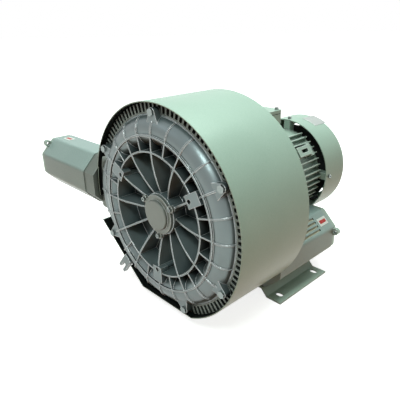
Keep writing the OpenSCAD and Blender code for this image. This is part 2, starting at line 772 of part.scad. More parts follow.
// Cooling fan and cowl
fan_hub_r = tail_r + 15;
fan_r = cowl_r - 13;
module cooling_fan() color(dark) on_shaft() difference() {
    union() {
        ring(tail_r + fit, fan_hub_r, fan_y, fan_y + fan_w);
        ring(fan_hub_r - 2, fan_r - 8, fan_y + 2, fan_y + 6);
        for (i = [0 : fan_blades - 1]) web_plate(i * 360 / fan_blades, 4)
            polygon([[fan_hub_r - 2, fan_y + 3], [fan_r - 4, fan_y + 3], [fan_r, fan_y + 12],
                [fan_r, fan_y + fan_w - 10], [fan_hub_r - 2, fan_y + fan_w - 4]]);
    }
    rod(tail_r + fit, 0, big);
}

cowl_t = 2;
cowl_round = 18;
module cowl_solid(inset, y0) turned() {
    translate([0, y0]) square([cowl_r - cowl_round, cowl_end - inset - y0]);
    translate([0, y0]) square([cowl_r - inset, cowl_end - cowl_round - y0]);
    translate([cowl_r - cowl_round, cowl_end - cowl_round]) circle(r = cowl_round - inset);
}

module fan_cowl() color(paint) on_shaft() difference() {
    cowl_solid(0, housing_end);
    cowl_solid(cowl_t, housing_end - 1);
    difference() {
        for (i = [0 : 6]) let (r = cowl_r - 33 - 13 * i) ring(r, r + 7, cowl_end - 4, cowl_end + 1);
        for (i = [0 : 3]) at_angle(i * 45) translate([-cowl_r, cowl_end - 6, -3]) cube([2 * cowl_r, 10, 6]);
    }
    around([0 : 90 : 270], cowl_r - 8) translate([0, housing_end + 12, 0])
        rotate([0, 90, 0]) cylinder(r = screw_m * 1.1, h = 20);
}

module cowl_screws() color(steel) on_shaft() around([0 : 90 : 270], cowl_r)
    translate([0, housing_end + 12, 0]) rotate([0, 0, 90]) cap_screw(screw_m, 12);

// Terminal box on its neck
box_y = housing_y + 24;
neck_top = box_top - 37;
box_wall = 4;
lid_t = 8;
gasket_t = 1.5;
lid_screw_xy = [for (x = [-1, 1], y = [10, box_len - 10]) [x * (box_half - 10), box_y + y]];

module box_block(z0, z1, inset) translate([0, box_y + box_len / 2, z0])
    linear_extrude(z1 - z0) round_rect(2 * box_half - 2 * inset, box_len - 2 * inset, max(8 - inset, 2));

module terminal_box() color(paint) on_shaft() difference() {
    box_block(neck_top, box_top - lid_t - gasket_t, 0);
    difference() {
        box_block(neck_top + 5, box_top, box_wall);
        for (p = lid_screw_xy) translate([p[0], p[1], neck_top]) cylinder(r = 7, h = 60);
    }
    translate([-26, box_y + 26, neck_top - 1]) cube([52, box_len - 52, 10]);
    for (p = lid_screw_xy) translate([p[0], p[1], neck_top + 6]) cylinder(r = screw_m + fit, h = 60);
    for (y = gland_ys)
        translate([-box_half - 1, y, gland_z]) rotate([0, 90, 0]) cylinder(r = 10, h = 10);
}

module terminal_gasket() color(dark) on_shaft() difference() {
    box_block(box_top - lid_t - gasket_t, box_top - lid_t, 0.5);
    box_block(box_top - lid_t - gasket_t - 1, box_top, box_wall + 12);
    for (p = lid_screw_xy) translate([p[0], p[1], neck_top]) cylinder(r = screw_m * 1.1, h = 60);
}

module terminal_lid() color(paint) on_shaft() difference() {
    box_block(box_top - lid_t, box_top, 0);
    box_block(box_top - lid_t - 1, box_top - 3, box_wall + 12);
    for (p = lid_screw_xy) translate([p[0], p[1], neck_top]) cylinder(r = screw_m * 1.1, h = 60);
}

module terminal_lid_screws() color(steel) on_shaft() for (p = lid_screw_xy)
    translate([p[0], p[1], box_top]) rotate([-90, 0, 0]) cap_screw(screw_m, 20);

module terminal_block() color(dark) on_shaft() {
    translate([-34, box_y + 16, neck_top + 5]) cube([68, 9.5, 10]);
    translate([-34, box_y + 20, neck_top + 5]) cube([68, 22, 7]);
    for (x = [-24, 0, 24]) translate([x, box_y + 34, neck_top + 11]) cylinder(r = 2.5, h = 9);
}

gland_ys = [box_y + 36, box_y + 76];
gland_z = neck_top + 15;
module cable_glands() color(dark) on_shaft()
    for (y = gland_ys) translate([-box_half, y, gland_z]) difference() {
    union() {
        rotate([0, -90, 0]) cylinder(r = 14, h = 6, $fn = 6);
        rotate([0, -90, 0]) cylinder(r = 12, h = 10);
        translate([-9, 0, 0]) rotate([0, -90, 0]) cylinder(r = 13.5, h = 14);
        rotate([0, 90, 0]) cylinder(r = 10 - fit, h = box_wall + 2);
    }
    translate([-40, 0, 0]) rotate([0, 90, 0]) cylinder(r = 7, h = 60);
}

// Feet: folded plates on cast brackets of the rear casing
bracket_x = 41;
bracket_w = 48;
bracket_root_z = 182;
bracket_flange = 8;
upper_z = foot_rise - foot_t;
foot_bend = foot_reach - foot_base;
foot_inner = 20;
foot_bolt_x = bracket_x + 13;
foot_bolt_ys = [foot_front + 29, foot_front + foot_len - 22];

module foot_outline() polygon([[foot_reach, 0], [foot_reach, foot_t], [foot_bend + 2, foot_t],
    [foot_bend - 15, foot_rise], [foot_inner, foot_rise], [foot_inner, upper_z],
    [foot_bend - 17, upper_z], [foot_bend, 0]]);

module foot() difference() {
    translate([0, foot_len - pattern_y + foot_front, 0])
        rotate([90, 0, 0]) linear_extrude(foot_len) foot_outline();
    for (s = [-1, 1])
        translate([foot_reach - foot_base / 2 - 3, s * slot_pitch / 2, -1]) linear_extrude(foot_t + 2) {
            square([slot_len - slot_w, slot_w], center = true);
            for (e = [-1, 1]) translate([e * (slot_len - slot_w) / 2, 0]) circle(r = slot_w / 2);
        }
    for (y = foot_bolt_ys) translate([foot_bolt_x, y - pattern_y, 0]) cylinder(r = bolt_m * 1.1, h = 40);
}

module foot_bracket() on_shaft() difference() {
    union() {
        translate([bracket_x - bracket_w / 2, motor_face - 6, -shaft_height + foot_rise])
            cube([bracket_w, 10, shaft_height - foot_rise - bracket_root_z + 30]);
        translate([bracket_x - bracket_w / 2, motor_face - 6, -shaft_height + foot_rise])
            cube([bracket_w, foot_front + foot_len - motor_face + 6, bracket_flange]);
        translate([bracket_x - 16, 0, -shaft_height + foot_rise]) rotate([90, 0, 90]) linear_extrude(10)
            polygon([[motor_face, 0], [foot_front + foot_len, 0],
                [foot_front + foot_len, bracket_flange + 4],
                [foot_front + foot_len / 2, bracket_flange + 16], [motor_face, bracket_flange + 22]]);
    }
    for (dx = [-14, 14])
        translate([bracket_x + dx, 0, -bracket_root_z]) rod(bolt_m * 1.1, motor_face - 10, motor_face + 6);
    for (y = foot_bolt_ys)
        translate([foot_bolt_x, y, -shaft_height]) cylinder(r = bolt_m * 1.1, h = 60);
}

module left_foot() color(paint) mirror([1, 0, 0]) foot();
module right_foot() color(paint) foot();
module left_foot_bracket() color(alloy) mirror([1, 0, 0]) foot_bracket();
module right_foot_bracket() color(alloy) foot_bracket();

module foot_bolts() color(steel) for (s = [0, 1]) mirror([s, 0, 0]) {
    for (y = foot_bolt_ys) translate([foot_bolt_x, y - pattern_y, upper_z]) {
        rotate([90, 0, 0]) hex_bolt(bolt_m, foot_t + bracket_flange + 10);
        translate([0, 0, foot_t + bracket_flange]) cylinder(r = 9.2, h = 7, $fn = 6);
    }
    on_shaft() for (dx = [-14, 14]) translate([bracket_x + dx, motor_face + 4, -bracket_root_z])
        mirror([0, 1, 0]) hex_bolt(bolt_m, 24);
}

// Silencers: eight-sided bodies with round corners, lined with an absorber round a perforated tube
tube_r = pipe_r + 2;
module silencer_outline(inset) hull() for (a = [22.5 : 45 : 360])
    translate(polar((silencer_w / 2 - corner_r) / cos(22.5), a)) circle(r = corner_r - inset, $fn = 32);

// Drawn along +Y from the joint, its section in X and Z
module silencer_body(bore) {
    difference() {
        slab(0, silencer_len) silencer_outline(0);
        slab(flange_t - 2, silencer_len + 1) difference() {
            silencer_outline(silencer_t);
            screw_blocks();
        }
        rod(bore, -1, flange_t);
        for (s = [-1, 1])
            translate([0, 0, s * end_screw_z]) rod(screw_m + fit, silencer_len - 14, silencer_len + 1);
    }
}

// Blocks inside the flats that the end flange's screws bite into
end_screw_z = silencer_w / 2 - 9;
module screw_blocks() for (s = [-1, 1])
    translate([0, s * (end_screw_z + 3)]) square([16, 18], center = true);

module silencer_absorber() slab(flange_t - 2, silencer_len) difference() {
    silencer_outline(silencer_t);
    circle(r = tube_r);
    screw_blocks();
}

module silencer_tube() difference() {
    ring(tube_r - 1.5, tube_r, flange_t - 2, silencer_len);
    for (i = [0 : 5]) around([0 : 30 : 330], tube_r - 5) translate([0, 32 + i * 33, 0])
        rotate([0, 90, 0]) cylinder(r = 4, h = 10);
}

module silencer_gasket() slab(silencer_len, silencer_len + gasket_t) difference() {
    silencer_outline(1.5);
    circle(r = pipe_r + 4);
    for (s = [-1, 1]) translate([0, s * end_screw_z]) circle(r = screw_m * 1.1);
}

ear_r = silencer_w / 2 + 6;
end_y = silencer_len + gasket_t;

module silencer_flange(ear_a) difference() {
    union() {
        slab(end_y, end_y + flange_t) {
            silencer_outline(1.5);
            rotate([0, 0, ear_a]) {
                square([2 * ear_r, 18], center = true);
                for (s = [-1, 1]) translate([s * ear_r, 0]) circle(r = 9);
            }
        }
        rod(pipe_r + 9.5, end_y, end_y + flange_t + boss_len);
    }
    rod(pipe_r, end_y - 1, end_y + flange_t + boss_len + 1);
    for (s = [0, 180]) at_angle(ear_a + s, ear_r) rod(bolt_m, end_y - 1, end_y + flange_t + 1);
    for (s = [-1, 1])
        translate([0, 0, s * end_screw_z]) rod(screw_m * 1.1, end_y - 1, end_y + flange_t + 1);
}

module intake_place() on_shaft() translate([-duct_reach, duct_y, duct_z]) rotate([0, 0, 90]) children();
module outlet_place() on_shaft() translate([outlet_x, foot_front + 1, -outlet_drop]) children();

module intake_silencer() color(paint) intake_place() silencer_body(neck_bore);
module intake_absorber() color("#c9c2ae") intake_place() silencer_absorber();
module intake_tube() color(steel) intake_place() silencer_tube();
module intake_gasket() color(dark) intake_place() silencer_gasket();
module intake_flange() color(alloy) intake_place() silencer_flange(130);
module outlet_silencer() color(paint) outlet_place() difference() {
    silencer_body(neck_bore);
    for (k = [-1.5 : 1.5]) rotate([0, -45, 0])
        translate([silencer_w / 2 - 12, 60, 11 * k - 2.7]) cube([24, 116, 5.4]);
}
module outlet_absorber() color("#c9c2ae") outlet_place() silencer_absorber();
module outlet_tube() color(steel) outlet_place() silencer_tube();
module outlet_gasket() color(dark) outlet_place() silencer_gasket();
module outlet_flange() color(alloy) outlet_place() silencer_flange(12);
module intake_flange_screws() color(steel) intake_place() flange_screws();
module outlet_flange_screws() color(steel) outlet_place() flange_screws();
module flange_screws() for (s = [-1, 1]) translate([0, end_y + flange_t, s * end_screw_z])
    mirror([0, 1, 0]) cap_screw(screw_m, flange_t + gasket_t + 10);

shroud();
shroud_screws();
front_cover();
cover_bolts();
bearing_cap();
bearing_cap_screws();
stage_casing();
casing_bolts();
rear_casing();
shaft_seal();
impeller_1();
impeller_2();
impeller_spacer();
impeller_keys();
impeller_nut();
shaft();
front_bearing_outer();
front_bearing_inner();
front_bearing_balls();
drive_bearing_outer();
drive_bearing_inner();
drive_bearing_balls();
rear_bearing_outer();
rear_bearing_inner();
rear_bearing_balls();
motor_flange();
motor_bolts();
motor_housing();
stator_core();
stator_windings();
rotor_core();
motor_rear_shield();
cooling_fan();
fan_cowl();
cowl_screws();
terminal_box();
terminal_gasket();
terminal_lid();
terminal_lid_screws();
terminal_block();
cable_glands();
left_foot();
right_foot();
left_foot_bracket();
right_foot_bracket();
foot_bolts();
intake_silencer();
intake_absorber();
intake_tube();
intake_gasket();
intake_flange();
intake_flange_screws();
outlet_silencer();
outlet_absorber();
outlet_tube();
outlet_gasket();
outlet_flange();
outlet_flange_screws();
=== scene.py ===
# Two-stage side channel blower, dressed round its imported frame.
# Everything is in metres, in the frame's own axes: +Z up, the ribbed cover towards -Y.
import math

import bpy
from mathutils import Matrix, Vector


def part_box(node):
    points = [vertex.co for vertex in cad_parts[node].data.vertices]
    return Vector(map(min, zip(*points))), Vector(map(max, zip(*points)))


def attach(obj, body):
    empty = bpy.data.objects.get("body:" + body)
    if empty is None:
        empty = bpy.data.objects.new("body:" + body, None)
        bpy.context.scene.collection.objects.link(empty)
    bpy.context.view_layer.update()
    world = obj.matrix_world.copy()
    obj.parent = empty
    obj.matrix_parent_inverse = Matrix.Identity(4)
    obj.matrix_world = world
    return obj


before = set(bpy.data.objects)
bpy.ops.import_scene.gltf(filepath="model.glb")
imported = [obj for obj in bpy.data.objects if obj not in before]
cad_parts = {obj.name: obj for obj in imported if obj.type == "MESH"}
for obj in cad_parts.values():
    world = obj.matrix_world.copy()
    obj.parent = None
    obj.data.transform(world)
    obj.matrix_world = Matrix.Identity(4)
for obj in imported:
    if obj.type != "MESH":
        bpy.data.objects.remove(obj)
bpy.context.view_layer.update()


# Camera: a normal lens 0.63 m above the floor, to the right of the cover, looking down on it.
# Its place and turn are the ones that put the solids where the photograph has them.
camera_at = Vector((0.677969, -0.826951, 0.632503))
yaw, pitch, roll = math.radians(46.832), math.radians(22.56), math.radians(-1.249)
lens_mm, sensor_mm = 38.78, 36.0

camera_data = bpy.data.cameras.new("camera")
camera_data.lens = lens_mm
camera_data.sensor_width = sensor_mm
camera_data.clip_end = 20
camera = bpy.data.objects.new("camera", camera_data)
bpy.context.collection.objects.link(camera)
tilt = Matrix.Rotation(math.pi / 2 - pitch, 4, "X") @ Matrix.Rotation(roll, 4, "Z")
camera.matrix_world = Matrix.Translation(camera_at) @ Matrix.Rotation(yaw, 4, "Z") @ tilt
bpy.context.scene.camera = camera
bpy.context.scene.view_settings.view_transform = "Standard"


# Studio: a plain pale floor that runs on as a white backdrop, and three soft lamps.
# The large lamp stands high behind the blower, so the top of the sheet ring catches it, and what
# bounces up from the floor on matt surfaces is warm, as from a workshop floor.
shaft_height = 0.25
floor_size, floor_drop = 80, 0.0005
glow_near, glow_far, glow_at_feet = 0.7, 3.0, 0.8


def linear(hex_colour):
    parts = [int(hex_colour[i:i + 2], 16) / 255 for i in (1, 3, 5)]
    return [c / 12.92 if c <= 0.04045 else ((c + 0.055) / 1.055) ** 2.4 for c in parts] + [1.0]


def add_node(tree, kind, settings=None, inputs=None):
    made = tree.nodes.new(kind)
    for name, value in (settings or {}).items():
        setattr(made, name, value)
    for name, value in (inputs or {}).items():
        if isinstance(value, bpy.types.NodeSocket):
            tree.links.new(value, made.inputs[name])
        else:
            made.inputs[name].default_value = value
    return made


def deselect():
    if bpy.context.object and bpy.context.object.mode != "OBJECT":
        bpy.ops.object.mode_set(mode="OBJECT")
    bpy.ops.object.select_all(action="DESELECT")


def bare_material(name):
    made = bpy.data.materials.new(name)
    made.use_nodes = True
    made.node_tree.nodes.clear()
    return made, made.node_tree


def backdrop_rays(tree):
    path = add_node(tree, "ShaderNodeLightPath")
    shiny = add_node(tree, "ShaderNodeMath", {"operation": "MAXIMUM"},
                     {0: path.outputs["Is Glossy Ray"], 1: path.outputs["Is Transmission Ray"]})
    return add_node(tree, "ShaderNodeMath", {"operation": "MAXIMUM"},
                    {0: shiny.outputs[0], 1: path.outputs["Is Camera Ray"]}).outputs[0]


world = bpy.data.worlds.new("studio")
bpy.context.scene.world = world
world.use_nodes = True
sky = world.node_tree
sky.nodes.clear()
where = add_node(sky, "ShaderNodeTexCoord")
split = add_node(sky, "ShaderNodeSeparateXYZ", inputs={"Vector": where.outputs["Generated"]})
height = add_node(sky, "ShaderNodeMapRange",
                  inputs={"Value": split.outputs["Z"], "From Min": -0.2, "From Max": 0.9})
ramp = add_node(sky, "ShaderNodeValToRGB", inputs={"Fac": height.outputs["Result"]})
ramp.color_ramp.elements[0].color = linear("#3c2c1e")
ramp.color_ramp.elements[1].color = linear("#eefaf4")
horizon = ramp.color_ramp.elements.new(0.42)
horizon.color = linear("#515a4c")
soft = add_node(sky, "ShaderNodeBackground", inputs={"Color": ramp.outputs["Color"], "Strength": 0.34})
white = add_node(sky, "ShaderNodeBackground", inputs={"Color": linear("#ffffff"), "Strength": 1.0})
seen = add_node(sky, "ShaderNodeMixShader",
                inputs={0: backdrop_rays(sky), 1: soft.outputs[0], 2: white.outputs[0]})
add_node(sky, "ShaderNodeOutputWorld", inputs={"Surface": seen.outputs[0]})

deselect()
bpy.ops.mesh.primitive_plane_add(size=floor_size, location=(0, 0, -floor_drop))
floor = bpy.context.object
floor.name = "floor"
floor_look, tree = bare_material("painted_studio_floor")
paper = add_node(tree, "ShaderNodeBsdfDiffuse", inputs={"Color": linear("#e6e6e4")})
spot = add_node(tree, "ShaderNodeTexCoord")
away = add_node(tree, "ShaderNodeVectorMath", {"operation": "LENGTH"}, {0: spot.outputs["Object"]})
fade = add_node(tree, "ShaderNodeMapRange",
                inputs={"Value": away.outputs["Value"], "From Min": glow_near, "From Max": glow_far,
                        "To Min": glow_at_feet})
lift = add_node(tree, "ShaderNodeEmission",
                inputs={"Color": linear("#ffffff"), "Strength": fade.outputs["Result"]})
bright = add_node(tree, "ShaderNodeAddShader", inputs={0: paper.outputs[0], 1: lift.outputs[0]})
warm = add_node(tree, "ShaderNodeBsdfDiffuse", inputs={"Color": linear("#b4703c")})
seen = add_node(tree, "ShaderNodeMixShader",
                inputs={0: backdrop_rays(tree), 1: warm.outputs[0], 2: bright.outputs[0]})
add_node(tree, "ShaderNodeOutputMaterial", inputs={"Surface": seen.outputs[0]})
floor.data.materials.append(floor_look)

lamps_aim_at = Vector((0, -0.15, shaft_height))
lamp_facts = [
    ("high_back", (-0.2, 0.6, 2.6), 1.6, 58, "#f0fff8"),
    ("front_left", (-1.6, -2.0, 1.9), 0.9, 2, "#e6f4ff"),
    ("high_front", (0.9, -1.6, 2.2), 0.6, 23, "#eefffb"),
]
for name, place, size, power, colour in lamp_facts:
    lamp_data = bpy.data.lights.new(name, "AREA")
    lamp_data.size = size
    lamp_data.energy = power
    lamp_data.color = linear(colour)[:3]
    lamp = bpy.data.objects.new(name, lamp_data)
    bpy.context.collection.objects.link(lamp)
    aim = lamps_aim_at - Vector(place)
    lamp.matrix_world = Matrix.Translation(place) @ aim.to_track_quat("-Z", "Y").to_matrix().to_4x4()


# Silver-grey baked enamel on the sheet metal, sprayed with fine aluminium flake: it shows a broad
# soft glare, a slight orange peel, and bare worn edges. The ring's inner face is painted nearly black
# as painted shade. Real flake is far finer; it is drawn at about a millimetre, so that it shows.
def enamelled_sheet(name, base, patch, rough=0.34, painted_shade_inside=False):
    cloud_mm, flake_mm, peel_mm = 90, 1.1, 2.2
    worn_edge, shade_reach = 0.0006, 0.012
    flake_metal = 0.05
    made, tree = bare_material(name)
    place = add_node(tree, "ShaderNodeTexCoord")
    cloud = add_node(tree, "ShaderNodeTexNoise",
                     inputs={"Vector": place.outputs["Object"], "Scale": 1000 / cloud_mm, "Detail": 3.0})
    flake = add_node(tree, "ShaderNodeTexVoronoi",
                     inputs={"Vector": place.outputs["Object"], "Scale": 1000 / flake_mm})
    peel = add_node(tree, "ShaderNodeTexNoise",
                    inputs={"Vector": place.outputs["Object"], "Scale": 1000 / peel_mm, "Detail": 1.0})
    flat = add_node(tree, "ShaderNodeNewGeometry")
    rounded = add_node(tree, "ShaderNodeBevel", {"samples": 6}, {"Radius": worn_edge})
    facing = add_node(tree, "ShaderNodeVectorMath", {"operation": "DOT_PRODUCT"},
                      {0: flat.outputs["Normal"], 1: rounded.outputs["Normal"]})
    worn = add_node(tree, "ShaderNodeMapRange",
                    inputs={"Value": facing.outputs["Value"], "From Min": 0.985, "From Max": 0.86,
                            "To Max": 0.8})
    # Painted shade: the enamel is darkened towards #31352f where nearby surfaces crowd it.
    hidden = add_node(tree, "ShaderNodeAmbientOcclusion", {"samples": 8}, {"Distance": shade_reach})
    painted_recess_shade = add_node(tree, "ShaderNodeMapRange",
                     inputs={"Value": hidden.outputs["AO"], "From Min": 0.8, "From Max": 0.25,
                             "To Max": 0.7})
    paint = add_node(tree, "ShaderNodeMix", {"data_type": "RGBA"},
                     {0: cloud.outputs["Fac"], 6: linear(base), 7: linear(patch)})
    spark = add_node(tree, "ShaderNodeMapRange", inputs={"Value": flake.outputs["Color"], "To Max": 0.12})
    paint = add_node(tree, "ShaderNodeMix", {"data_type": "RGBA"},
                     {0: spark.outputs["Result"], 6: paint.outputs[2], 7: linear("#f4f8f2")})
    paint = add_node(tree, "ShaderNodeMix", {"data_type": "RGBA"},
                     {0: painted_recess_shade.outputs["Result"], 6: paint.outputs[2], 7: linear("#31352f")})
    paint = add_node(tree, "ShaderNodeMix", {"data_type": "RGBA"},
                     {0: worn.outputs["Result"], 6: paint.outputs[2], 7: linear("#d6d8d2")})
    # Painted shade: faces that look in towards the shaft are painted nearly black.
    if painted_shade_inside:
        out_from_axis = add_node(tree, "ShaderNodeVectorMath", {"operation": "MULTIPLY_ADD"},
                                 {0: place.outputs["Object"], 1: (1, 0, 1), 2: (0, 0, -shaft_height)})
        outward = add_node(tree, "ShaderNodeVectorMath", {"operation": "DOT_PRODUCT"},
                           {0: out_from_axis.outputs["Vector"], 1: place.outputs["Normal"]})
        inner = add_node(tree, "ShaderNodeMath", {"operation": "LESS_THAN"},
                         {0: outward.outputs["Value"], 1: -0.1})
        paint = add_node(tree, "ShaderNodeMix", {"data_type": "RGBA"},
                         {0: inner.outputs[0], 6: paint.outputs[2], 7: linear("#151918")})
    bump = add_node(tree, "ShaderNodeBump",
                    inputs={"Strength": 0.05, "Distance": 0.0003, "Height": peel.outputs["Fac"],
                            "Normal": rounded.outputs["Normal"]})
    dull = add_node(tree, "ShaderNodeMapRange",
                    inputs={"Value": cloud.outputs["Fac"], "To Min": rough - 0.04, "To Max": rough + 0.05})
    shader = add_node(tree, "ShaderNodeBsdfPrincipled",
                      inputs={"Base Color": paint.outputs[2], "Roughness": dull.outputs["Result"],
                              "Metallic": flake_metal, "Specular IOR Level": 0.22,
                              "Normal": bump.outputs["Normal"]})
    add_node(tree, "ShaderNodeOutputMaterial", inputs={"Surface": shader.outputs[0]})
    return made


def dress(names, material):
    for name in names:
        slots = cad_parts[name].data.materials
        slots.clear()
        slots.append(material)


# On the ring: pale silver-green with a broad glare, and painted shade, nearly black, inside.
dress(["shroud"],
      enamelled_sheet("silver_grey_enamel_on_ring", "#a9c2b3", "#9db7a8", painted_shade_inside=True))
# On the silencers: a shade darker and bluer than the ring.
dress(["intake_silencer", "outlet_silencer"],
      enamelled_sheet("blue_grey_enamel_on_silencers", "#98ada9", "#8da29e"))
# On the cowl and the terminal box: the ring's own colour and glare.
dress(["fan_cowl", "terminal_box", "terminal_lid"],
      enamelled_sheet("silver_grey_flake_enamel", "#a9c2b3", "#9db7a8"))
# On the folded feet and their cast brackets: duller, and painted paler as painted light, lifting their
# shade.
dress(["left_foot", "right_foot", "left_foot_bracket", "right_foot_bracket"],
      enamelled_sheet("silver_grey_enamel_on_feet", "#bbcfc1", "#aec2b4", rough=0.42))


# Cast aluminium of the cover, the casings and the impellers: shot-blasted sand casting, so a fine
# pebbled skin, rounded rib edges rubbed bright and lightened further as a painted highlight, and
# dull grey-green painted shade in the pockets. The real skin is finer, drawn at 1.6 mm so that it shows.
def cast_aluminium(name, base, patch, painted_shade_colour, edge_wear_and_highlight, rough, metallic, shade_reach_mm):
    cloud_mm, pebble_mm, wear_and_highlight_radius = 60, 1.6, 0.0016
    made, tree = bare_material(name)
    place = add_node(tree, "ShaderNodeTexCoord")
    cloud = add_node(tree, "ShaderNodeTexNoise",
                     inputs={"Vector": place.outputs["Object"], "Scale": 1000 / cloud_mm, "Detail": 4.0})
    pebble = add_node(tree, "ShaderNodeTexNoise",
                      inputs={"Vector": place.outputs["Object"], "Scale": 1000 / pebble_mm, "Detail": 3.0,
                              "Roughness": 0.65})
    # Painted highlight on rubbed edges: the rounded edges are lightened towards the edge colour.
    flat = add_node(tree, "ShaderNodeNewGeometry")
    rounded = add_node(tree, "ShaderNodeBevel", {"samples": 8}, {"Radius": wear_and_highlight_radius})
    facing = add_node(tree, "ShaderNodeVectorMath", {"operation": "DOT_PRODUCT"},
                      {0: flat.outputs["Normal"], 1: rounded.outputs["Normal"]})
    worn_and_highlit_edges = add_node(tree, "ShaderNodeMapRange",
                      inputs={"Value": facing.outputs["Value"], "From Min": 0.985, "From Max": 0.88,
                              "To Max": 0.95})
    # Painted shade: the metal darkens towards the shade colour where nearby surfaces crowd it.
    hidden = add_node(tree, "ShaderNodeAmbientOcclusion", {"samples": 8}, {"Distance": shade_reach_mm / 1000})
    painted_shade_in_pockets = add_node(tree, "ShaderNodeMapRange",
                    inputs={"Value": hidden.outputs["AO"], "From Min": 0.72, "From Max": 0.12,
                            "To Max": 0.9})
    metal = add_node(tree, "ShaderNodeMix", {"data_type": "RGBA"},
                     {0: cloud.outputs["Fac"], 6: linear(base), 7: linear(patch)})
    metal = add_node(tree, "ShaderNodeMix", {"data_type": "RGBA"},
                     {0: painted_shade_in_pockets.outputs["Result"], 6: metal.outputs[2], 7: linear(painted_shade_colour)})
    metal = add_node(tree, "ShaderNodeMix", {"data_type": "RGBA"},
                     {0: worn_and_highlit_edges.outputs["Result"], 6: metal.outputs[2], 7: linear(edge_wear_and_highlight)})
    bump = add_node(tree, "ShaderNodeBump",
                    inputs={"Strength": 0.22, "Distance": 0.0004, "Height": pebble.outputs["Fac"],
                            "Normal": rounded.outputs["Normal"]})
    dull = add_node(tree, "ShaderNodeMapRange",
                    inputs={"Value": cloud.outputs["Fac"], "To Min": rough - 0.05, "To Max": rough + 0.07})
    shader = add_node(tree, "ShaderNodeBsdfPrincipled",
                      inputs={"Base Color": metal.outputs[2], "Roughness": dull.outputs["Result"],
                              "Metallic": metallic, "Normal": bump.outputs["Normal"]})
    add_node(tree, "ShaderNodeOutputMaterial", inputs={"Surface": shader.outputs[0]})
    return made


# Turned cap: a little duller than the cover, with painted shade only in its corners.
dress(["bearing_cap"],
      cast_aluminium("turned_cap_aluminium", base="#868b85", patch="#7c817b",
                     painted_shade_colour="#272d2a", edge_wear_and_highlight="#e4e8e4", rough=0.36, metallic=0.35, shade_reach_mm=8))
# Blasted cover: rib edges rubbed nearly white with painted highlight; near-black painted shade in pockets.
dress(["front_cover"],
      cast_aluminium("blasted_cast_aluminium", base="#8b9799", patch="#7b888a",
                     painted_shade_colour="#0c1413", edge_wear_and_highlight="#fbfdfd", rough=0.3, metallic=0.4, shade_reach_mm=38))
# Casings left as cast: dull, with painted shade that goes black between their fins.
dress(["stage_casing", "rear_casing"],
      cast_aluminium("dark_casing_aluminium", base="#7f857e", patch="#6d746d",
                     painted_shade_colour="#040605", edge_wear_and_highlight="#a8afa8", rough=0.55, metallic=0.5, shade_reach_mm=26))
# Impellers: clean metal with a stronger shine and only light painted shade in their hollows.
dress(["impeller_1", "impeller_2"],
      cast_aluminium("impeller_aluminium", base="#aab0b2", patch="#9ca3a5",
                     painted_shade_colour="#3a3f40", edge_wear_and_highlight="#d8dcdc", rough=0.45, metallic=0.8, shade_reach_mm=20))
# Motor castings and end flanges: the same metal under green-grey enamel, with painted shade between the
# fins.
dress(["motor_housing", "motor_flange", "motor_rear_shield", "intake_flange", "outlet_flange"],
      cast_aluminium("enamelled_motor_casting", base="#a9bdb0", patch="#98ab9f",
                     painted_shade_colour="#0c1614", edge_wear_and_highlight="#e2ebe5", rough=0.42, metallic=0.3, shade_reach_mm=15))


# Fasteners and turned steel: zinc-plated screws with a cloudy bluish sheen, ground bearing rings,
# and a turned shaft whose tool marks run round its axis. The marks are drawn coarser than real
# ones, at about a millimetre, so that they show.
def plated_steel(name, base, patch, rough, tool_marks=False):
    cloud_mm, tool_mark_mm, wear_and_highlight_radius = 7, 0.9, 0.0004
    made, tree = bare_material(name)
    place = add_node(tree, "ShaderNodeTexCoord")
    cloud = add_node(tree, "ShaderNodeTexNoise",
                     inputs={"Vector": place.outputs["Object"], "Scale": 1000 / cloud_mm, "Detail": 3.0})
    split = add_node(tree, "ShaderNodeSeparateXYZ", inputs={"Vector": place.outputs["Object"]})
    marks = add_node(tree, "ShaderNodeTexNoise", {"noise_dimensions": "1D"},
                     {"W": split.outputs["Y"], "Scale": 1000 / tool_mark_mm, "Detail": 2.0})
    flat = add_node(tree, "ShaderNodeNewGeometry")
    rounded = add_node(tree, "ShaderNodeBevel", {"samples": 6}, {"Radius": wear_and_highlight_radius})
    facing = add_node(tree, "ShaderNodeVectorMath", {"operation": "DOT_PRODUCT"},
                      {0: flat.outputs["Normal"], 1: rounded.outputs["Normal"]})
    worn_and_highlit_edges = add_node(tree, "ShaderNodeMapRange",
                      inputs={"Value": facing.outputs["Value"], "From Min": 0.985, "From Max": 0.86})
    metal = add_node(tree, "ShaderNodeMix", {"data_type": "RGBA"},
                     {0: cloud.outputs["Fac"], 6: linear(base), 7: linear(patch)})
    metal = add_node(tree, "ShaderNodeMix", {"data_type": "RGBA"},
                     {0: worn_and_highlit_edges.outputs["Result"], 6: metal.outputs[2], 7: linear("#f2f2ef")})
    height = marks.outputs["Fac"] if tool_marks else cloud.outputs["Fac"]
    bump = add_node(tree, "ShaderNodeBump",
                    inputs={"Strength": 0.12, "Distance": 0.0002, "Height": height,
                            "Normal": rounded.outputs["Normal"]})
    shader = add_node(tree, "ShaderNodeBsdfPrincipled",
                      inputs={"Base Color": metal.outputs[2], "Roughness": rough, "Metallic": 1.0,
                              "Normal": bump.outputs["Normal"]})
    add_node(tree, "ShaderNodeOutputMaterial", inputs={"Surface": shader.outputs[0]})
    return made


# Zinc: cloudy grey with a soft shine and bright corners.
dress(["cover_bolts", "casing_bolts", "bearing_cap_screws", "cowl_screws", "terminal_lid_screws",
       "foot_bolts", "motor_bolts", "shroud_screws", "intake_flange_screws", "outlet_flange_screws"],
      plated_steel("zinc_plated_steel", "#959b99", "#7f8583", 0.34))

# Turned steel: paler and brighter, with fine rings left by the tool.
bearing_pieces = [f"{place}_bearing_{piece}" for place in ("front", "drive", "rear")
                  for piece in ("outer", "inner", "balls")]
dress(["shaft", "impeller_spacer", "impeller_keys", "impeller_nut", "stator_core", "rotor_core",
       "intake_tube", "outlet_tube", *bearing_pieces],
      plated_steel("turned_steel", "#b5b6b4", "#9b9d9c", 0.3, tool_marks=True))


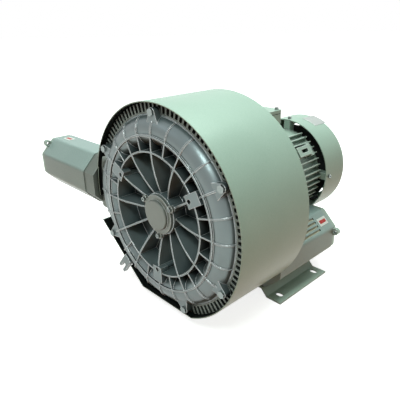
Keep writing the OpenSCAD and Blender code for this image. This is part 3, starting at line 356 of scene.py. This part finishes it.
# Moulded and soft parts: nitrile seals and gaskets, glass-filled nylon of the fan, glands and
# terminal block, felt of the absorbers, and the varnished copper of the windings.
def moulded(name, base, patch, rough, grain_mm, strength):
    cloud_mm = 25
    made, tree = bare_material(name)
    place = add_node(tree, "ShaderNodeTexCoord")
    cloud = add_node(tree, "ShaderNodeTexNoise",
                     inputs={"Vector": place.outputs["Object"], "Scale": 1000 / cloud_mm, "Detail": 3.0})
    pebble = add_node(tree, "ShaderNodeTexNoise",
                      inputs={"Vector": place.outputs["Object"], "Scale": 1000 / grain_mm, "Detail": 3.0,
                              "Roughness": 0.6})
    tint = add_node(tree, "ShaderNodeMix", {"data_type": "RGBA"},
                    {0: cloud.outputs["Fac"], 6: linear(base), 7: linear(patch)})
    bump = add_node(tree, "ShaderNodeBump",
                    inputs={"Strength": strength, "Distance": 0.0004, "Height": pebble.outputs["Fac"]})
    shader = add_node(tree, "ShaderNodeBsdfPrincipled",
                      inputs={"Base Color": tint.outputs[2], "Roughness": rough,
                              "Normal": bump.outputs["Normal"]})
    add_node(tree, "ShaderNodeOutputMaterial", inputs={"Surface": shader.outputs[0]})
    return made


# Rubber: nearly black and dull.
dress(["shaft_seal", "terminal_gasket", "intake_gasket", "outlet_gasket"],
      moulded("nitrile_rubber", "#1b1c1c", "#262727", rough=0.75, grain_mm=1.2, strength=0.2))
# Nylon: nearly black with a slight sheen and a fine grain.
dress(["cooling_fan", "cable_glands", "terminal_block"],
      moulded("glass_filled_nylon", "#232626", "#303433", rough=0.5, grain_mm=0.9, strength=0.15))
# Felt: pale straw, quite dull, with its fibres as a coarse grain.
dress(["intake_absorber", "outlet_absorber"],
      moulded("glass_felt", "#cfc6ae", "#b9ae92", rough=0.95, grain_mm=1.5, strength=0.9))
# Varnished copper: glossy brown, uneven as a bundle of wires is.
dress(["stator_windings"],
      moulded("varnished_copper", "#8a4f2c", "#6f3b1e", rough=0.35, grain_mm=1.8, strength=0.8))


# Rating plate: a bare sheet of etched metal, rolled to the cowl's curve and stuck on its upper
# right. It is cut from a short tube, thickened and bevelled, and shows pale with bright edges.
plate_radius, plate_start, plate_end = 0.1332, 0.178, 0.229
plate_from, plate_to = 61, 81
plate_thickness, plate_edge = 0.0006, 0.0002

deselect()
bpy.ops.mesh.primitive_cylinder_add(vertices=360, radius=plate_radius, depth=plate_end - plate_start,
                                    end_fill_type="NOTHING")
plate = bpy.context.object
plate.name = "rating_plate"
on_cowl = Matrix.Translation((0, (plate_start + plate_end) / 2, shaft_height))
plate.data.transform(on_cowl @ Matrix.Rotation(math.pi / 2, 4, "X"))
for part in (*plate.data.polygons, *plate.data.edges):
    part.select = False
for corner in plate.data.vertices:
    angle = math.degrees(math.atan2(corner.co.z - shaft_height, corner.co.x))
    corner.select = not plate_from <= angle <= plate_to
bpy.ops.object.mode_set(mode="EDIT")
bpy.ops.mesh.delete(type="VERT")
bpy.ops.object.mode_set(mode="OBJECT")
thick = plate.modifiers.new("thickness", "SOLIDIFY")
thick.thickness, thick.offset = plate_thickness, 1
plate.modifiers.new("edges", "BEVEL").width = plate_edge
for name in ("thickness", "edges"):
    bpy.ops.object.modifier_apply(modifier=name)
plate.data.materials.append(plated_steel("etched_plate", "#c3cac6", "#b2bab6", 0.36))
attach(plate, "blower")


# Stickers on the two silencers: smooth white vinyl film with a soft sheen and one red bar on it.
# Each lies on a flat of the eight-sided tube, just proud of the enamel, with the bar just proud
# of the film. Both have the same size.
film_size, bar_size = (0.036, 0.022, 0.0006), (0.026, 0.009, 0.0005)
film_lift, bar_lift = 0.0003, 0.0008
white_film = moulded("white_vinyl_film", "#e9ebe6", "#dcded8", rough=0.38, grain_mm=6, strength=0.03)
red_film = moulded("red_vinyl_print", "#c0281e", "#a82019", rough=0.38, grain_mm=6, strength=0.03)


def lay_film(name, centre, along, across, size, material):
    deselect()
    bpy.ops.mesh.primitive_cube_add(size=1)
    piece = bpy.context.object
    piece.name = name
    lie = Matrix((along, across, along.cross(across))).transposed().to_4x4()
    piece.data.transform(Matrix.Translation(centre) @ lie @ Matrix.Diagonal((*size, 1)))
    corners = piece.modifiers.new("corners", "BEVEL")
    corners.width, corners.segments = size[2] * 0.4, 2
    bpy.ops.object.modifier_apply(modifier="corners")
    piece.data.materials.append(material)
    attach(piece, "blower")


def sticker(name, middle, along, across):
    out = along.cross(across)
    lay_film(name, middle + out * film_lift, along, across, film_size, white_film)
    lay_film(name + "_bar", middle + out * bar_lift, along, across, bar_size, red_film)


silencer_half, outlet_x, outlet_height = 0.068, 0.108, 0.096
outlet_label_y, intake_label_y, intake_label_inset = 0.098, -0.259, 0.038
facet_out = Vector((1, 0, 1)).normalized()
sticker("outlet_label", Vector((outlet_x, outlet_label_y, outlet_height)) + facet_out * silencer_half,
        Vector((0, -1, 0)), Vector((1, 0, -1)).normalized())

low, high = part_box("intake_silencer")
sticker("intake_label", Vector((low[0] + intake_label_inset, intake_label_y, high[2])),
        Vector((1, 0, 0)), Vector((0, 1, 0)))
